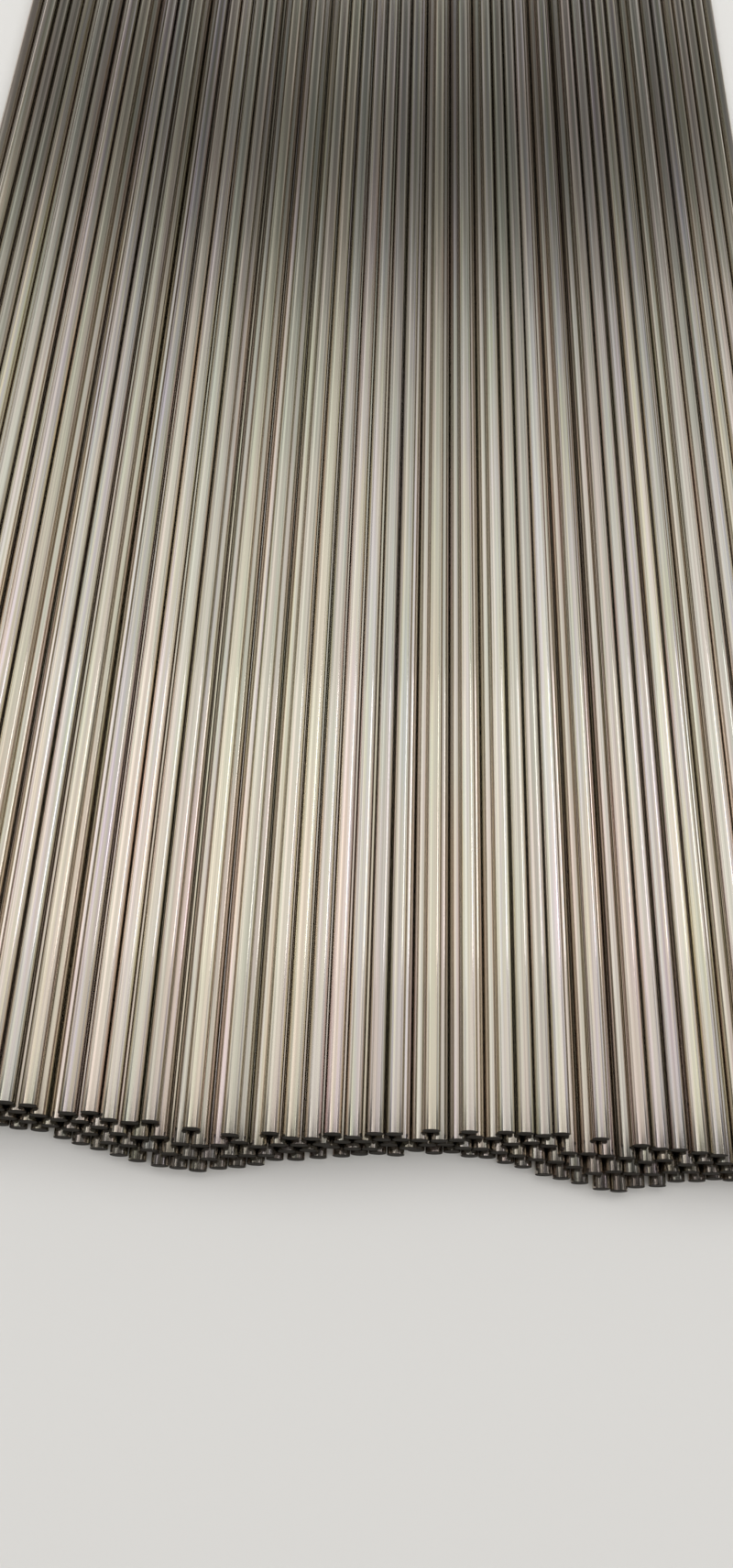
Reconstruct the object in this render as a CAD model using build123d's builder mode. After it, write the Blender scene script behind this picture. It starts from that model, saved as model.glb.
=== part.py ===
"""A loose bundle of round titanium bars lying side by side on the floor.

The bars are all cut to one length and lie along Y, near ends at -Y. They are stacked in
layers: the bars of the bottom layer lie on the floor with small uneven gaps between them,
and each bar above lies in the groove between two bars of the layer below. The bundle gets
narrower towards its top, and the top layer has bars missing. The origin is on the floor,
in the middle of the bundle.
"""

import math
import os
import random

from build123d import *

# The stock: round bar, sawn square at both ends, drawn with this many sides to keep the
# many bars light
bar_diameter = 3.0
bar_length = 1000.0
bar_sides = 20

# The bottom layer lies on the floor, each gap between its bars of a width between these two
bars_on_floor = 60
narrowest_gap = 0.06
widest_gap = 0.90

# A bar in a groove stays this far from both bars below it
nesting_clearance = 0.04

# How many grooves each upper layer leaves empty at its left and right edge
empty_edge_grooves = [(1, 1), (4, 4), (2, 2)]

# Places in the top layer, counted from the left, where a bar is missing
missing_top_bars = [2, 6, 12, 14, 16, 24, 26, 28, 33, 35, 41]

# The near ends: the front of the bundle is a shallow wave, which starts at this place
flush_at_x = 7.4
front_wave = 1.3
front_wave_length = 92.0

# Each layer starts a little behind the one below it. Halfway between the flush places the
# layers also slope, with the top one where the wave is and the others coming out below it,
# less to the left of the first flush place than to the right of it
layer_setback = 0.6
left_slope = 1.2
right_slope = 1.6
flush_spacing = 72.0

# Single bars lie out of line by up to this much
uneven_ends = 0.4

bar_radius = bar_diameter / 2
top_layer_number = len(empty_edge_grooves)
shuffle = random.Random(1136)


def floor_row():
    """Centres (x, z) of the bars on the floor, in one cross-section of the bundle."""
    gaps = [
        narrowest_gap + (widest_gap - narrowest_gap) * shuffle.random() ** 4
        for _ in range(bars_on_floor - 1)
    ]
    half_width = (sum(gaps) + len(gaps) * bar_diameter) / 2
    row = [(-half_width, bar_radius)]
    for gap in gaps:
        row.append((row[-1][0] + bar_diameter + gap, bar_radius))
    return row


def centre_in_groove(left, right):
    """Centre of a bar that lies in the groove between two bars of the layer below."""
    across = right[0] - left[0]
    up = right[1] - left[1]
    spacing = math.hypot(across, up)
    reach = bar_diameter + nesting_clearance
    rise = math.sqrt(reach**2 - (spacing / 2) ** 2)
    return (
        (left[0] + right[0]) / 2 - up / spacing * rise,
        (left[1] + right[1]) / 2 + across / spacing * rise,
    )


def cross_section():
    """Rows of bar centres from the floor to the top, each row in the grooves below it."""
    rows = [floor_row()]
    for left_empty, right_empty in empty_edge_grooves:
        grooves = list(zip(rows[-1][:-1], rows[-1][1:]))
        filled = grooves[left_empty : len(grooves) - right_empty]
        rows.append([centre_in_groove(left, right) for left, right in filled])
    rows[-1] = [bar for place, bar in enumerate(rows[-1]) if place not in missing_top_bars]
    return rows


def setback(layer, x):
    """How far the near end of a bar lies behind the front line of the bundle."""
    across = 2 * math.pi * (x - flush_at_x)
    wave = front_wave * math.sin(across / front_wave_length)
    steepest = left_slope if x < flush_at_x else right_slope
    slope = steepest * ((1 - math.cos(across / flush_spacing)) / 2) ** 2
    layers_above = top_layer_number - layer
    in_line = wave + layer * layer_setback - layers_above * slope
    return in_line + shuffle.uniform(-uneven_ends, uneven_ends)


# The gaps at the near end are not those at the far end, so the bars, which are straight,
# lie a little out of line with each other
near_rows = cross_section()
far_rows = cross_section()

# The ends, with the middle of the whole bundle at Y = 0
setbacks = [[setback(layer, x) for x, z in row] for layer, row in enumerate(near_rows)]
front_bar = min(min(row) for row in setbacks)
rear_bar = max(max(row) for row in setbacks)
front_line = -(bar_length + front_bar + rear_bar) / 2


def bars_of_layer(layer):
    """The bars of one layer, each drawn from its near end to its full length."""
    with BuildPart() as bars:
        for near, far, behind in zip(near_rows[layer], far_rows[layer], setbacks[layer]):
            near_end = (near[0], front_line + behind, near[1])
            along = (far[0] - near[0], bar_length, far[1] - near[1])
            with BuildSketch(Plane(near_end, x_dir=(1, 0, 0), z_dir=along)):
                RegularPolygon(bar_radius, bar_sides)
        extrude(amount=bar_length)
    return bars


os.makedirs("parts", exist_ok=True)

# Bottom layer: these bars carry the bundle on the floor
bottom_layer = bars_of_layer(0)
bottom_layer.part.label = "bottom_layer_bars"
export_step(bottom_layer.part, "parts/bottom_layer_bars.step")

# Second layer, in the grooves of the bottom layer
second_layer = bars_of_layer(1)
second_layer.part.label = "second_layer_bars"
export_step(second_layer.part, "parts/second_layer_bars.step")

# Third layer, in the grooves of the second
third_layer = bars_of_layer(2)
third_layer.part.label = "third_layer_bars"
export_step(third_layer.part, "parts/third_layer_bars.step")

# Top layer, with bars missing here and there
top_layer = bars_of_layer(3)
top_layer.part.label = "top_layer_bars"
export_step(top_layer.part, "parts/top_layer_bars.step")
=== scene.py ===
"""The finish of a loose bundle of round titanium bars, and the camera and light to see it."""

import math
import random

import bmesh
import bpy
from mathutils import Matrix, Vector


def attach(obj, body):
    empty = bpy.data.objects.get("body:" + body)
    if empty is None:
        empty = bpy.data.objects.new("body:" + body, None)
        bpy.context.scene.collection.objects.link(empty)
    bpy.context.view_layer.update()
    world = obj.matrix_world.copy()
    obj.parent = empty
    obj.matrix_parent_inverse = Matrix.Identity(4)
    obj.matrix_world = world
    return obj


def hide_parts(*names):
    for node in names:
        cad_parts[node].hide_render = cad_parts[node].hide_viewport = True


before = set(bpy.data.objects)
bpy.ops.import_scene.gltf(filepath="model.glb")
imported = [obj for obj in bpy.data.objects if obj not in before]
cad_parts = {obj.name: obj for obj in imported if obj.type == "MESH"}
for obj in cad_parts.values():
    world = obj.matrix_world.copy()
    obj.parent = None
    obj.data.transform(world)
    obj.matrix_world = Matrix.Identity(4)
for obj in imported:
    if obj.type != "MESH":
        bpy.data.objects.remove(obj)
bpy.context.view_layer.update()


# The bars: round titanium stock, drawn, ground bright and sawn to one length, with the sharp
# edge of each end taken off. They lie loose in four layers, each upper bar in the groove
# between two bars below it, and each layer is one piece.
bar_radius = 0.0015
edge_break = 0.0001
bar_sides = 20
bar_dice = random.Random(7)

# Some bars are brighter than others
dullest_bar = 0.88
brightest_bar = 1.08

# The metal's colours seen through its oxide film: warm greys that lean a little to pinkish,
# greenish, straw or lilac
film_tints = [
    (0.628, 0.580, 0.493),
    (0.647, 0.580, 0.498),
    (0.620, 0.588, 0.495),
    (0.639, 0.590, 0.477),
    (0.625, 0.581, 0.512),
    (0.617, 0.584, 0.507),
]

# The film is thick on few bars and thin on most, the more so the higher this power
film_thinness = 1.8

# Each bar takes its marks from another place of the noise, up to so many metres away
furthest_patch = 9.0


def drawn_titanium():
    """The round face: bright metal with fine marks along the bar, under a thin oxide film."""
    finish = bpy.data.materials.new("drawn_titanium")
    finish.use_nodes = True
    nodes, links = finish.node_tree.nodes, finish.node_tree.links
    shader = nodes["Principled BSDF"]
    shader.inputs["Metallic"].default_value = 1.0

    # Where the point is on its own bar, in metres, with Z along the bar
    on_bar = nodes.new("ShaderNodeAttribute")
    on_bar.attribute_name = "place_on_bar"

    def lengthwise_noise(waves_across, waves_along, detail):
        """Noise drawn out along the bar, with so many waves a metre across and along it."""
        stretch = nodes.new("ShaderNodeMapping")
        stretch.inputs["Scale"].default_value = (waves_across, waves_across, waves_along)
        noise = nodes.new("ShaderNodeTexNoise")
        noise.inputs["Scale"].default_value = 1.0
        noise.inputs["Detail"].default_value = detail
        links.new(on_bar.outputs["Vector"], stretch.inputs["Vector"])
        links.new(stretch.outputs["Vector"], noise.inputs["Vector"])
        return noise.outputs["Fac"]

    def spread(value, low, high):
        """The middle of a noise's range drawn out from low to high."""
        drawn_out = nodes.new("ShaderNodeMapRange")
        drawn_out.inputs["From Min"].default_value = 0.3
        drawn_out.inputs["From Max"].default_value = 0.7
        drawn_out.inputs["To Min"].default_value = low
        drawn_out.inputs["To Max"].default_value = high
        links.new(value, drawn_out.inputs["Value"])
        return drawn_out.outputs["Result"]

    def shades(value, low, high):
        """A colour between two, by a noise."""
        mix = nodes.new("ShaderNodeMix")
        mix.data_type = "RGBA"
        mix.inputs["A"].default_value = low
        mix.inputs["B"].default_value = high
        links.new(spread(value, 0.0, 1.0), mix.inputs["Factor"])
        return mix.outputs["Result"]

    def product(colour, other):
        """One colour seen through another."""
        multiply = nodes.new("ShaderNodeVectorMath")
        multiply.operation = "MULTIPLY"
        links.new(colour, multiply.inputs[0])
        links.new(other, multiply.inputs[1])
        return multiply.outputs["Vector"]

    # The marks that the die and the grinding wheel leave, and wider bands beside them
    marks = lengthwise_noise(waves_across=2400.0, waves_along=6.0, detail=3.0)
    bands = lengthwise_noise(waves_across=900.0, waves_along=4.0, detail=2.0)

    # The film turns from pinkish to greenish in streaks
    pinkish = (1.06, 0.982, 1.0, 1.0)
    greenish = (0.97, 1.012, 0.985, 1.0)
    film = lengthwise_noise(waves_across=800.0, waves_along=20.0, detail=1.0)
    bar_tint = nodes.new("ShaderNodeAttribute")
    bar_tint.attribute_name = "bar_tint"
    thin_film = product(bar_tint.outputs["Color"], shades(film, pinkish, greenish))

    # Where it is thicker, it also turns from straw to lilac
    straw = (1.02, 1.01, 0.92, 1.0)
    lilac = (0.965, 0.955, 1.16, 1.0)
    sheen = lengthwise_noise(waves_across=1500.0, waves_along=24.0, detail=1.0)
    thick_film = nodes.new("ShaderNodeMix")
    thick_film.data_type = "RGBA"
    thick_film.inputs["A"].default_value = (1.0, 1.0, 1.0, 1.0)
    links.new(shades(sheen, straw, lilac), thick_film.inputs["B"])
    links.new(bar_tint.outputs["Alpha"], thick_film.inputs["Factor"])
    tinted = product(thin_film, thick_film.outputs["Result"])

    # Some marks and bands are darker
    shade = nodes.new("ShaderNodeMath")
    shade.operation = "MULTIPLY"
    links.new(spread(bands, low=0.88, high=1.08), shade.inputs[0])
    links.new(spread(marks, low=0.83, high=1.08), shade.inputs[1])
    shaded = nodes.new("ShaderNodeVectorMath")
    shaded.operation = "SCALE"
    links.new(tinted, shaded.inputs[0])
    links.new(shade.outputs["Value"], shaded.inputs["Scale"])
    links.new(shaded.outputs["Vector"], shader.inputs["Base Color"])

    links.new(spread(marks, low=0.09, high=0.17), shader.inputs["Roughness"])

    # The marks spread the light across the bar and hardly along it
    along_bars = nodes.new("ShaderNodeCombineXYZ")
    along_bars.inputs["Y"].default_value = 1.0
    links.new(along_bars.outputs["Vector"], shader.inputs["Tangent"])
    shader.inputs["Anisotropic"].default_value = 0.8
    shader.inputs["Anisotropic Rotation"].default_value = 0.25

    relief = nodes.new("ShaderNodeBump")
    relief.inputs["Strength"].default_value = 0.2
    relief.inputs["Distance"].default_value = 0.00001
    links.new(marks, relief.inputs["Height"])
    links.new(relief.outputs["Normal"], shader.inputs["Normal"])
    return finish


def sawn_titanium_painted_shade():
    """The ends and their broken edges: dull metal scratched by the saw's teeth, with painted
    shade: its colour is made near black for the shade that lies on the ends.
    """
    finish = bpy.data.materials.new("sawn_titanium_painted_shade")
    finish.use_nodes = True
    nodes, links = finish.node_tree.nodes, finish.node_tree.links
    shader = nodes["Principled BSDF"]
    shader.inputs["Metallic"].default_value = 0.5
    shader.inputs["Roughness"].default_value = 0.85
    shader.inputs["Specular IOR Level"].default_value = 0.2

    # The scratches run across the end, fine one way and long the other
    on_bar = nodes.new("ShaderNodeAttribute")
    on_bar.attribute_name = "place_on_bar"
    stretch = nodes.new("ShaderNodeMapping")
    stretch.inputs["Scale"].default_value = (600.0, 9000.0, 1.0)
    scratches = nodes.new("ShaderNodeTexNoise")
    scratches.inputs["Scale"].default_value = 1.0
    links.new(on_bar.outputs["Vector"], stretch.inputs["Vector"])
    links.new(stretch.outputs["Vector"], scratches.inputs["Vector"])

    # Both scratch colours are near black: painted shade on the ends, over real saw scratches
    darker_scratch_painted_shade = (0.014, 0.012, 0.010, 1.0)
    paler_scratch_painted_shade = (0.058, 0.052, 0.044, 1.0)
    colour = nodes.new("ShaderNodeMix")
    colour.data_type = "RGBA"
    colour.inputs["A"].default_value = darker_scratch_painted_shade
    colour.inputs["B"].default_value = paler_scratch_painted_shade
    links.new(scratches.outputs["Fac"], colour.inputs["Factor"])
    links.new(colour.outputs["Result"], shader.inputs["Base Color"])
    return finish


def bar_ends(node):
    """The middle of the near and the far end of each bar in a layer of the frame."""
    layer = bmesh.new()
    layer.from_mesh(node.data)
    bmesh.ops.remove_doubles(layer, verts=layer.verts, dist=1e-6)
    waiting = set(layer.verts)
    ends = []
    while waiting:
        reached = [waiting.pop()]
        for vert in reached:
            for edge in vert.link_edges:
                other = edge.other_vert(vert)
                if other in waiting:
                    waiting.remove(other)
                    reached.append(other)
        middle = sum(vert.co.y for vert in reached) / len(reached)
        near = [vert.co for vert in reached if vert.co.y < middle]
        far = [vert.co for vert in reached if vert.co.y > middle]
        ends.append((sum(near, Vector()) / len(near), sum(far, Vector()) / len(far)))
    layer.free()
    return sorted(ends, key=lambda pair: pair[0].x)


def cut_bar(length):
    """One bar standing at the origin, with its tint and its own patch of the finish."""
    bar = bmesh.new()
    bmesh.ops.create_cone(
        bar,
        cap_ends=True,
        segments=bar_sides,
        radius1=bar_radius,
        radius2=bar_radius,
        depth=length,
    )
    rims = [edge for edge in bar.edges if edge.calc_length() < bar_radius]
    bmesh.ops.bevel(
        bar,
        geom=rims,
        offset=edge_break,
        affect="EDGES",
        segments=1,
        profile=0.5,
        material=-1,
    )
    # The ends and their broken edges are flat and sawn, and take the finish with painted shade;
    # the rest is round and drawn
    for face in bar.faces:
        sawn = abs(face.normal.z) > 0.5
        face.smooth = not sawn
        face.material_index = 1 if sawn else 0
    for edge in bar.edges:
        edge.smooth = edge.calc_length() > bar_radius
    tint_layer = bar.verts.layers.float_color.new("bar_tint")
    place_layer = bar.verts.layers.float_vector.new("place_on_bar")
    level = bar_dice.uniform(dullest_bar, brightest_bar)
    tint = [colour * level for colour in bar_dice.choice(film_tints)]
    patch = Vector([bar_dice.uniform(-furthest_patch, furthest_patch) for _ in range(3)])
    film_thickness = bar_dice.random() ** film_thinness
    for vert in bar.verts:
        vert[tint_layer] = (*tint, film_thickness)
        vert[place_layer] = vert.co + patch
    return bar


drawn_face = drawn_titanium()
# The finish of the ends carries painted shade
shaded_sawn_end = sawn_titanium_painted_shade()


def lay_bars(name, node):
    """One layer of bars, where the frame has them."""
    made = bpy.data.meshes.new(name)
    layer = bmesh.new()
    for near, far in bar_ends(node):
        along = far - near
        bar = cut_bar(along.length)
        turn = along.to_track_quat("Z", "Y").to_matrix().to_4x4()
        bar.transform(Matrix.Translation((near + far) / 2) @ turn)
        bar.to_mesh(made)
        bar.free()
        layer.from_mesh(made)
    layer.to_mesh(made)
    layer.free()
    made.materials.append(drawn_face)
    made.materials.append(shaded_sawn_end)
    piece = bpy.data.objects.new(name, made)
    bpy.context.scene.collection.objects.link(piece)
    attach(piece, "root")
    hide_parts(node.name)


lay_bars("bars_on_floor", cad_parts["bottom_layer_bars"])
lay_bars("bars_in_second_layer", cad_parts["second_layer_bars"])
lay_bars("bars_in_third_layer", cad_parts["third_layer_bars"])
lay_bars("bars_on_top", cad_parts["top_layer_bars"])


# The floor under the bundle: one plain, pale and matt sheet, wide enough for every view.
# It is the stage and no part of the object.
floor_size = 12.0
floor_mesh = bmesh.new()
bmesh.ops.create_grid(floor_mesh, x_segments=1, y_segments=1, size=floor_size / 2)
floor_data = bpy.data.meshes.new("studio_floor")
floor_mesh.to_mesh(floor_data)
floor_mesh.free()
floor_paint = bpy.data.materials.new("pale_floor")
floor_paint.use_nodes = True
floor_shader = floor_paint.node_tree.nodes["Principled BSDF"]
floor_shader.inputs["Base Color"].default_value = (0.72, 0.71, 0.69, 1.0)
floor_shader.inputs["Roughness"].default_value = 0.9
floor_data.materials.append(floor_paint)
floor = bpy.data.objects.new("studio_floor", floor_data)
bpy.context.scene.collection.objects.link(floor)


# The camera: above the near ends and a little to their left, looking steeply down along the
# bars and leaning to one side, as in the photograph.
camera_place = Vector((-0.02046, -0.53214, 0.20844))
up_from_straight_down = math.radians(25.869)
lean = math.radians(-6.925)
turn_left = math.radians(1.913)
focal_pixels = 1300.0
frame_height_pixels = 1712.0
camera_data = bpy.data.cameras.new("camera")
camera_data.sensor_width = 36.0
camera_data.lens = camera_data.sensor_width * focal_pixels / frame_height_pixels
camera_data.clip_start = 0.01
camera = bpy.data.objects.new("camera", camera_data)
camera.location = camera_place
camera.rotation_euler = (up_from_straight_down, lean, turn_left)
bpy.context.scene.collection.objects.link(camera)
bpy.context.scene.camera = camera


# The light: an arch of soft boxes over the bars, bright over their near ends and dimmer
# towards their far ends, with a few brighter patches and strips inside it.
warm_light = (1.0, 0.985, 0.975)
bluish_light = (0.985, 0.975, 1.06)
cool_light = (0.972, 1.0, 0.99)

# Boxes that start this far along the bars, or further, are cool. Of the others, those further
# to the right than this angle are bluish and the rest warm.
cool_from = 0.25
bluish_beyond = math.radians(45)


def soft_box(ring, angle, radius, width, near_edge, far_edge, brightness):
    """A flat lamp that faces the bars, up from them at an angle to the right of straight up."""
    name = f"{ring}_{round(math.degrees(angle))}"
    length = far_edge - near_edge
    lamp = bpy.data.lights.new(name, "AREA")
    lamp.shape = "RECTANGLE"
    lamp.size = width
    lamp.size_y = length
    # With this energy the lamp's face looks as bright as asked for, where 1 is white
    lamp.energy = 4 * width * length * brightness
    if near_edge >= cool_from:
        lamp.color = cool_light
    elif angle > bluish_beyond:
        lamp.color = bluish_light
    else:
        lamp.color = warm_light
    box = bpy.data.objects.new(name, lamp)
    box.location = (radius * math.sin(angle), (near_edge + far_edge) / 2, radius * math.cos(angle))
    box.rotation_euler = (0.0, angle, 0.0)
    bpy.context.scene.collection.objects.link(box)


# Five boxes side by side across the arch, from left to right: how bright each is, and how far
# its edges along the bars are drawn out
arch_radius = 1.5
box_spread = math.radians(34)
box_width = 2 * arch_radius * math.tan(box_spread / 2)
box_brightness = [0.47, 0.90, 0.77, 0.80, 0.41]
box_stretch = [0.85, 1.08, 1.0, 1.0, 0.85]
middle_box = len(box_brightness) // 2

# Each is cut along the bars into stretches: the places of their edges, and how bright each is
stretch_edges = [-0.24, -0.17, -0.06, 0.30, 0.60, 0.78, 0.96, 1.15, 1.34, 1.52, 1.70, 2.40, 5.00]
stretch_parts = [0.96, 1.00, 1.00, 1.00, 0.96, 0.89, 0.75, 0.61, 0.36, 0.20, 0.14, 0.45]

for count, brightness in enumerate(box_brightness):
    angle = (count - middle_box) * box_spread
    edges = [edge * box_stretch[count] for edge in stretch_edges]
    for start, end, part in zip(edges[:-1], edges[1:], stretch_parts):
        soft_box("soft_box", angle, arch_radius, box_width, start, end, brightness * part)

# The brighter patches and strips inside the arch, with their angles in degrees
for ring, degrees, radius, width, near_edge, far_edge, brightness in [
    ("bright_box", -52, 1.4, 0.60, -0.06, 0.42, 0.30),
    ("bright_box", 56, 1.4, 0.50, -0.06, 0.42, 0.14),
    ("bright_strip", 50, 1.35, 0.14, -0.04, 0.40, 2.6),
    ("near_strip", 46, 1.4, 0.06, -0.50, -0.24, 1.6),
    ("near_strip", -42, 1.4, 0.06, -0.50, -0.24, 1.6),
]:
    soft_box(ring, math.radians(degrees), radius, width, near_edge, far_edge, brightness)

# A fill from above for the floor, which the bars don't mirror
fill_brightness = 0.4
fill_height = 3.0
fill = bpy.data.lights.new("floor_fill", "AREA")
fill.size = 7.0
fill.energy = 4 * fill.size**2 * fill_brightness
floor_fill = bpy.data.objects.new("floor_fill", fill)
floor_fill.location = (0.0, 0.0, fill_height)
floor_fill.visible_glossy = False
bpy.context.scene.collection.objects.link(floor_fill)


# The room round the lamps: pale behind the camera and near the floor, and dark above the
# lamps ahead. Up and ahead are read from the direction that one looks in.
room = bpy.data.worlds.new("room")
room.use_nodes = True
nodes, links = room.node_tree.nodes, room.node_tree.links
direction = nodes.new("ShaderNodeTexCoord")
parts = nodes.new("ShaderNodeSeparateXYZ")
links.new(direction.outputs["Generated"], parts.inputs["Vector"])

darker_up = nodes.new("ShaderNodeMapRange")
darker_up.inputs["From Min"].default_value = 0.1
darker_up.inputs["From Max"].default_value = 0.5
darker_up.inputs["To Min"].default_value = 0.80
darker_up.inputs["To Max"].default_value = 0.08
links.new(parts.outputs["Z"], darker_up.inputs["Value"])

# The room's brightness by how far ahead one looks, from 0, sideways, to 1, straight ahead
from_near_to_far = nodes.new("ShaderNodeValToRGB")
near_stop, far_stop = from_near_to_far.color_ramp.elements
near_stop.position = 0.10
near_stop.color = (0.25, 0.25, 0.25, 1.0)
far_stop.position = 0.96
far_stop.color = (0.9, 0.9, 0.9, 1.0)
for ahead, part in [(0.33, 1.0), (0.55, 0.8), (0.75, 0.45), (0.88, 0.25)]:
    stop = from_near_to_far.color_ramp.elements.new(ahead)
    stop.color = (part, part, part, 1.0)
links.new(parts.outputs["Y"], from_near_to_far.inputs["Fac"])
ahead_brightness = nodes.new("ShaderNodeMath")
ahead_brightness.operation = "MULTIPLY"
links.new(darker_up.outputs["Result"], ahead_brightness.inputs[0])
links.new(from_near_to_far.outputs["Color"], ahead_brightness.inputs[1])

pale_behind = nodes.new("ShaderNodeMapRange")
pale_behind.inputs["From Min"].default_value = -0.10
pale_behind.inputs["From Max"].default_value = 0.06
pale_behind.inputs["To Min"].default_value = 0.55
pale_behind.inputs["To Max"].default_value = 0.0
links.new(parts.outputs["Y"], pale_behind.inputs["Value"])

in_all = nodes.new("ShaderNodeMath")
in_all.operation = "ADD"
links.new(ahead_brightness.outputs["Value"], in_all.inputs[0])
links.new(pale_behind.outputs["Result"], in_all.inputs[1])
nodes["Background"].inputs["Color"].default_value = (1.0, 0.98, 0.95, 1.0)
links.new(in_all.outputs["Value"], nodes["Background"].inputs["Strength"])
bpy.context.scene.world = room
bpy.context.scene.view_settings.view_transform = "Standard"
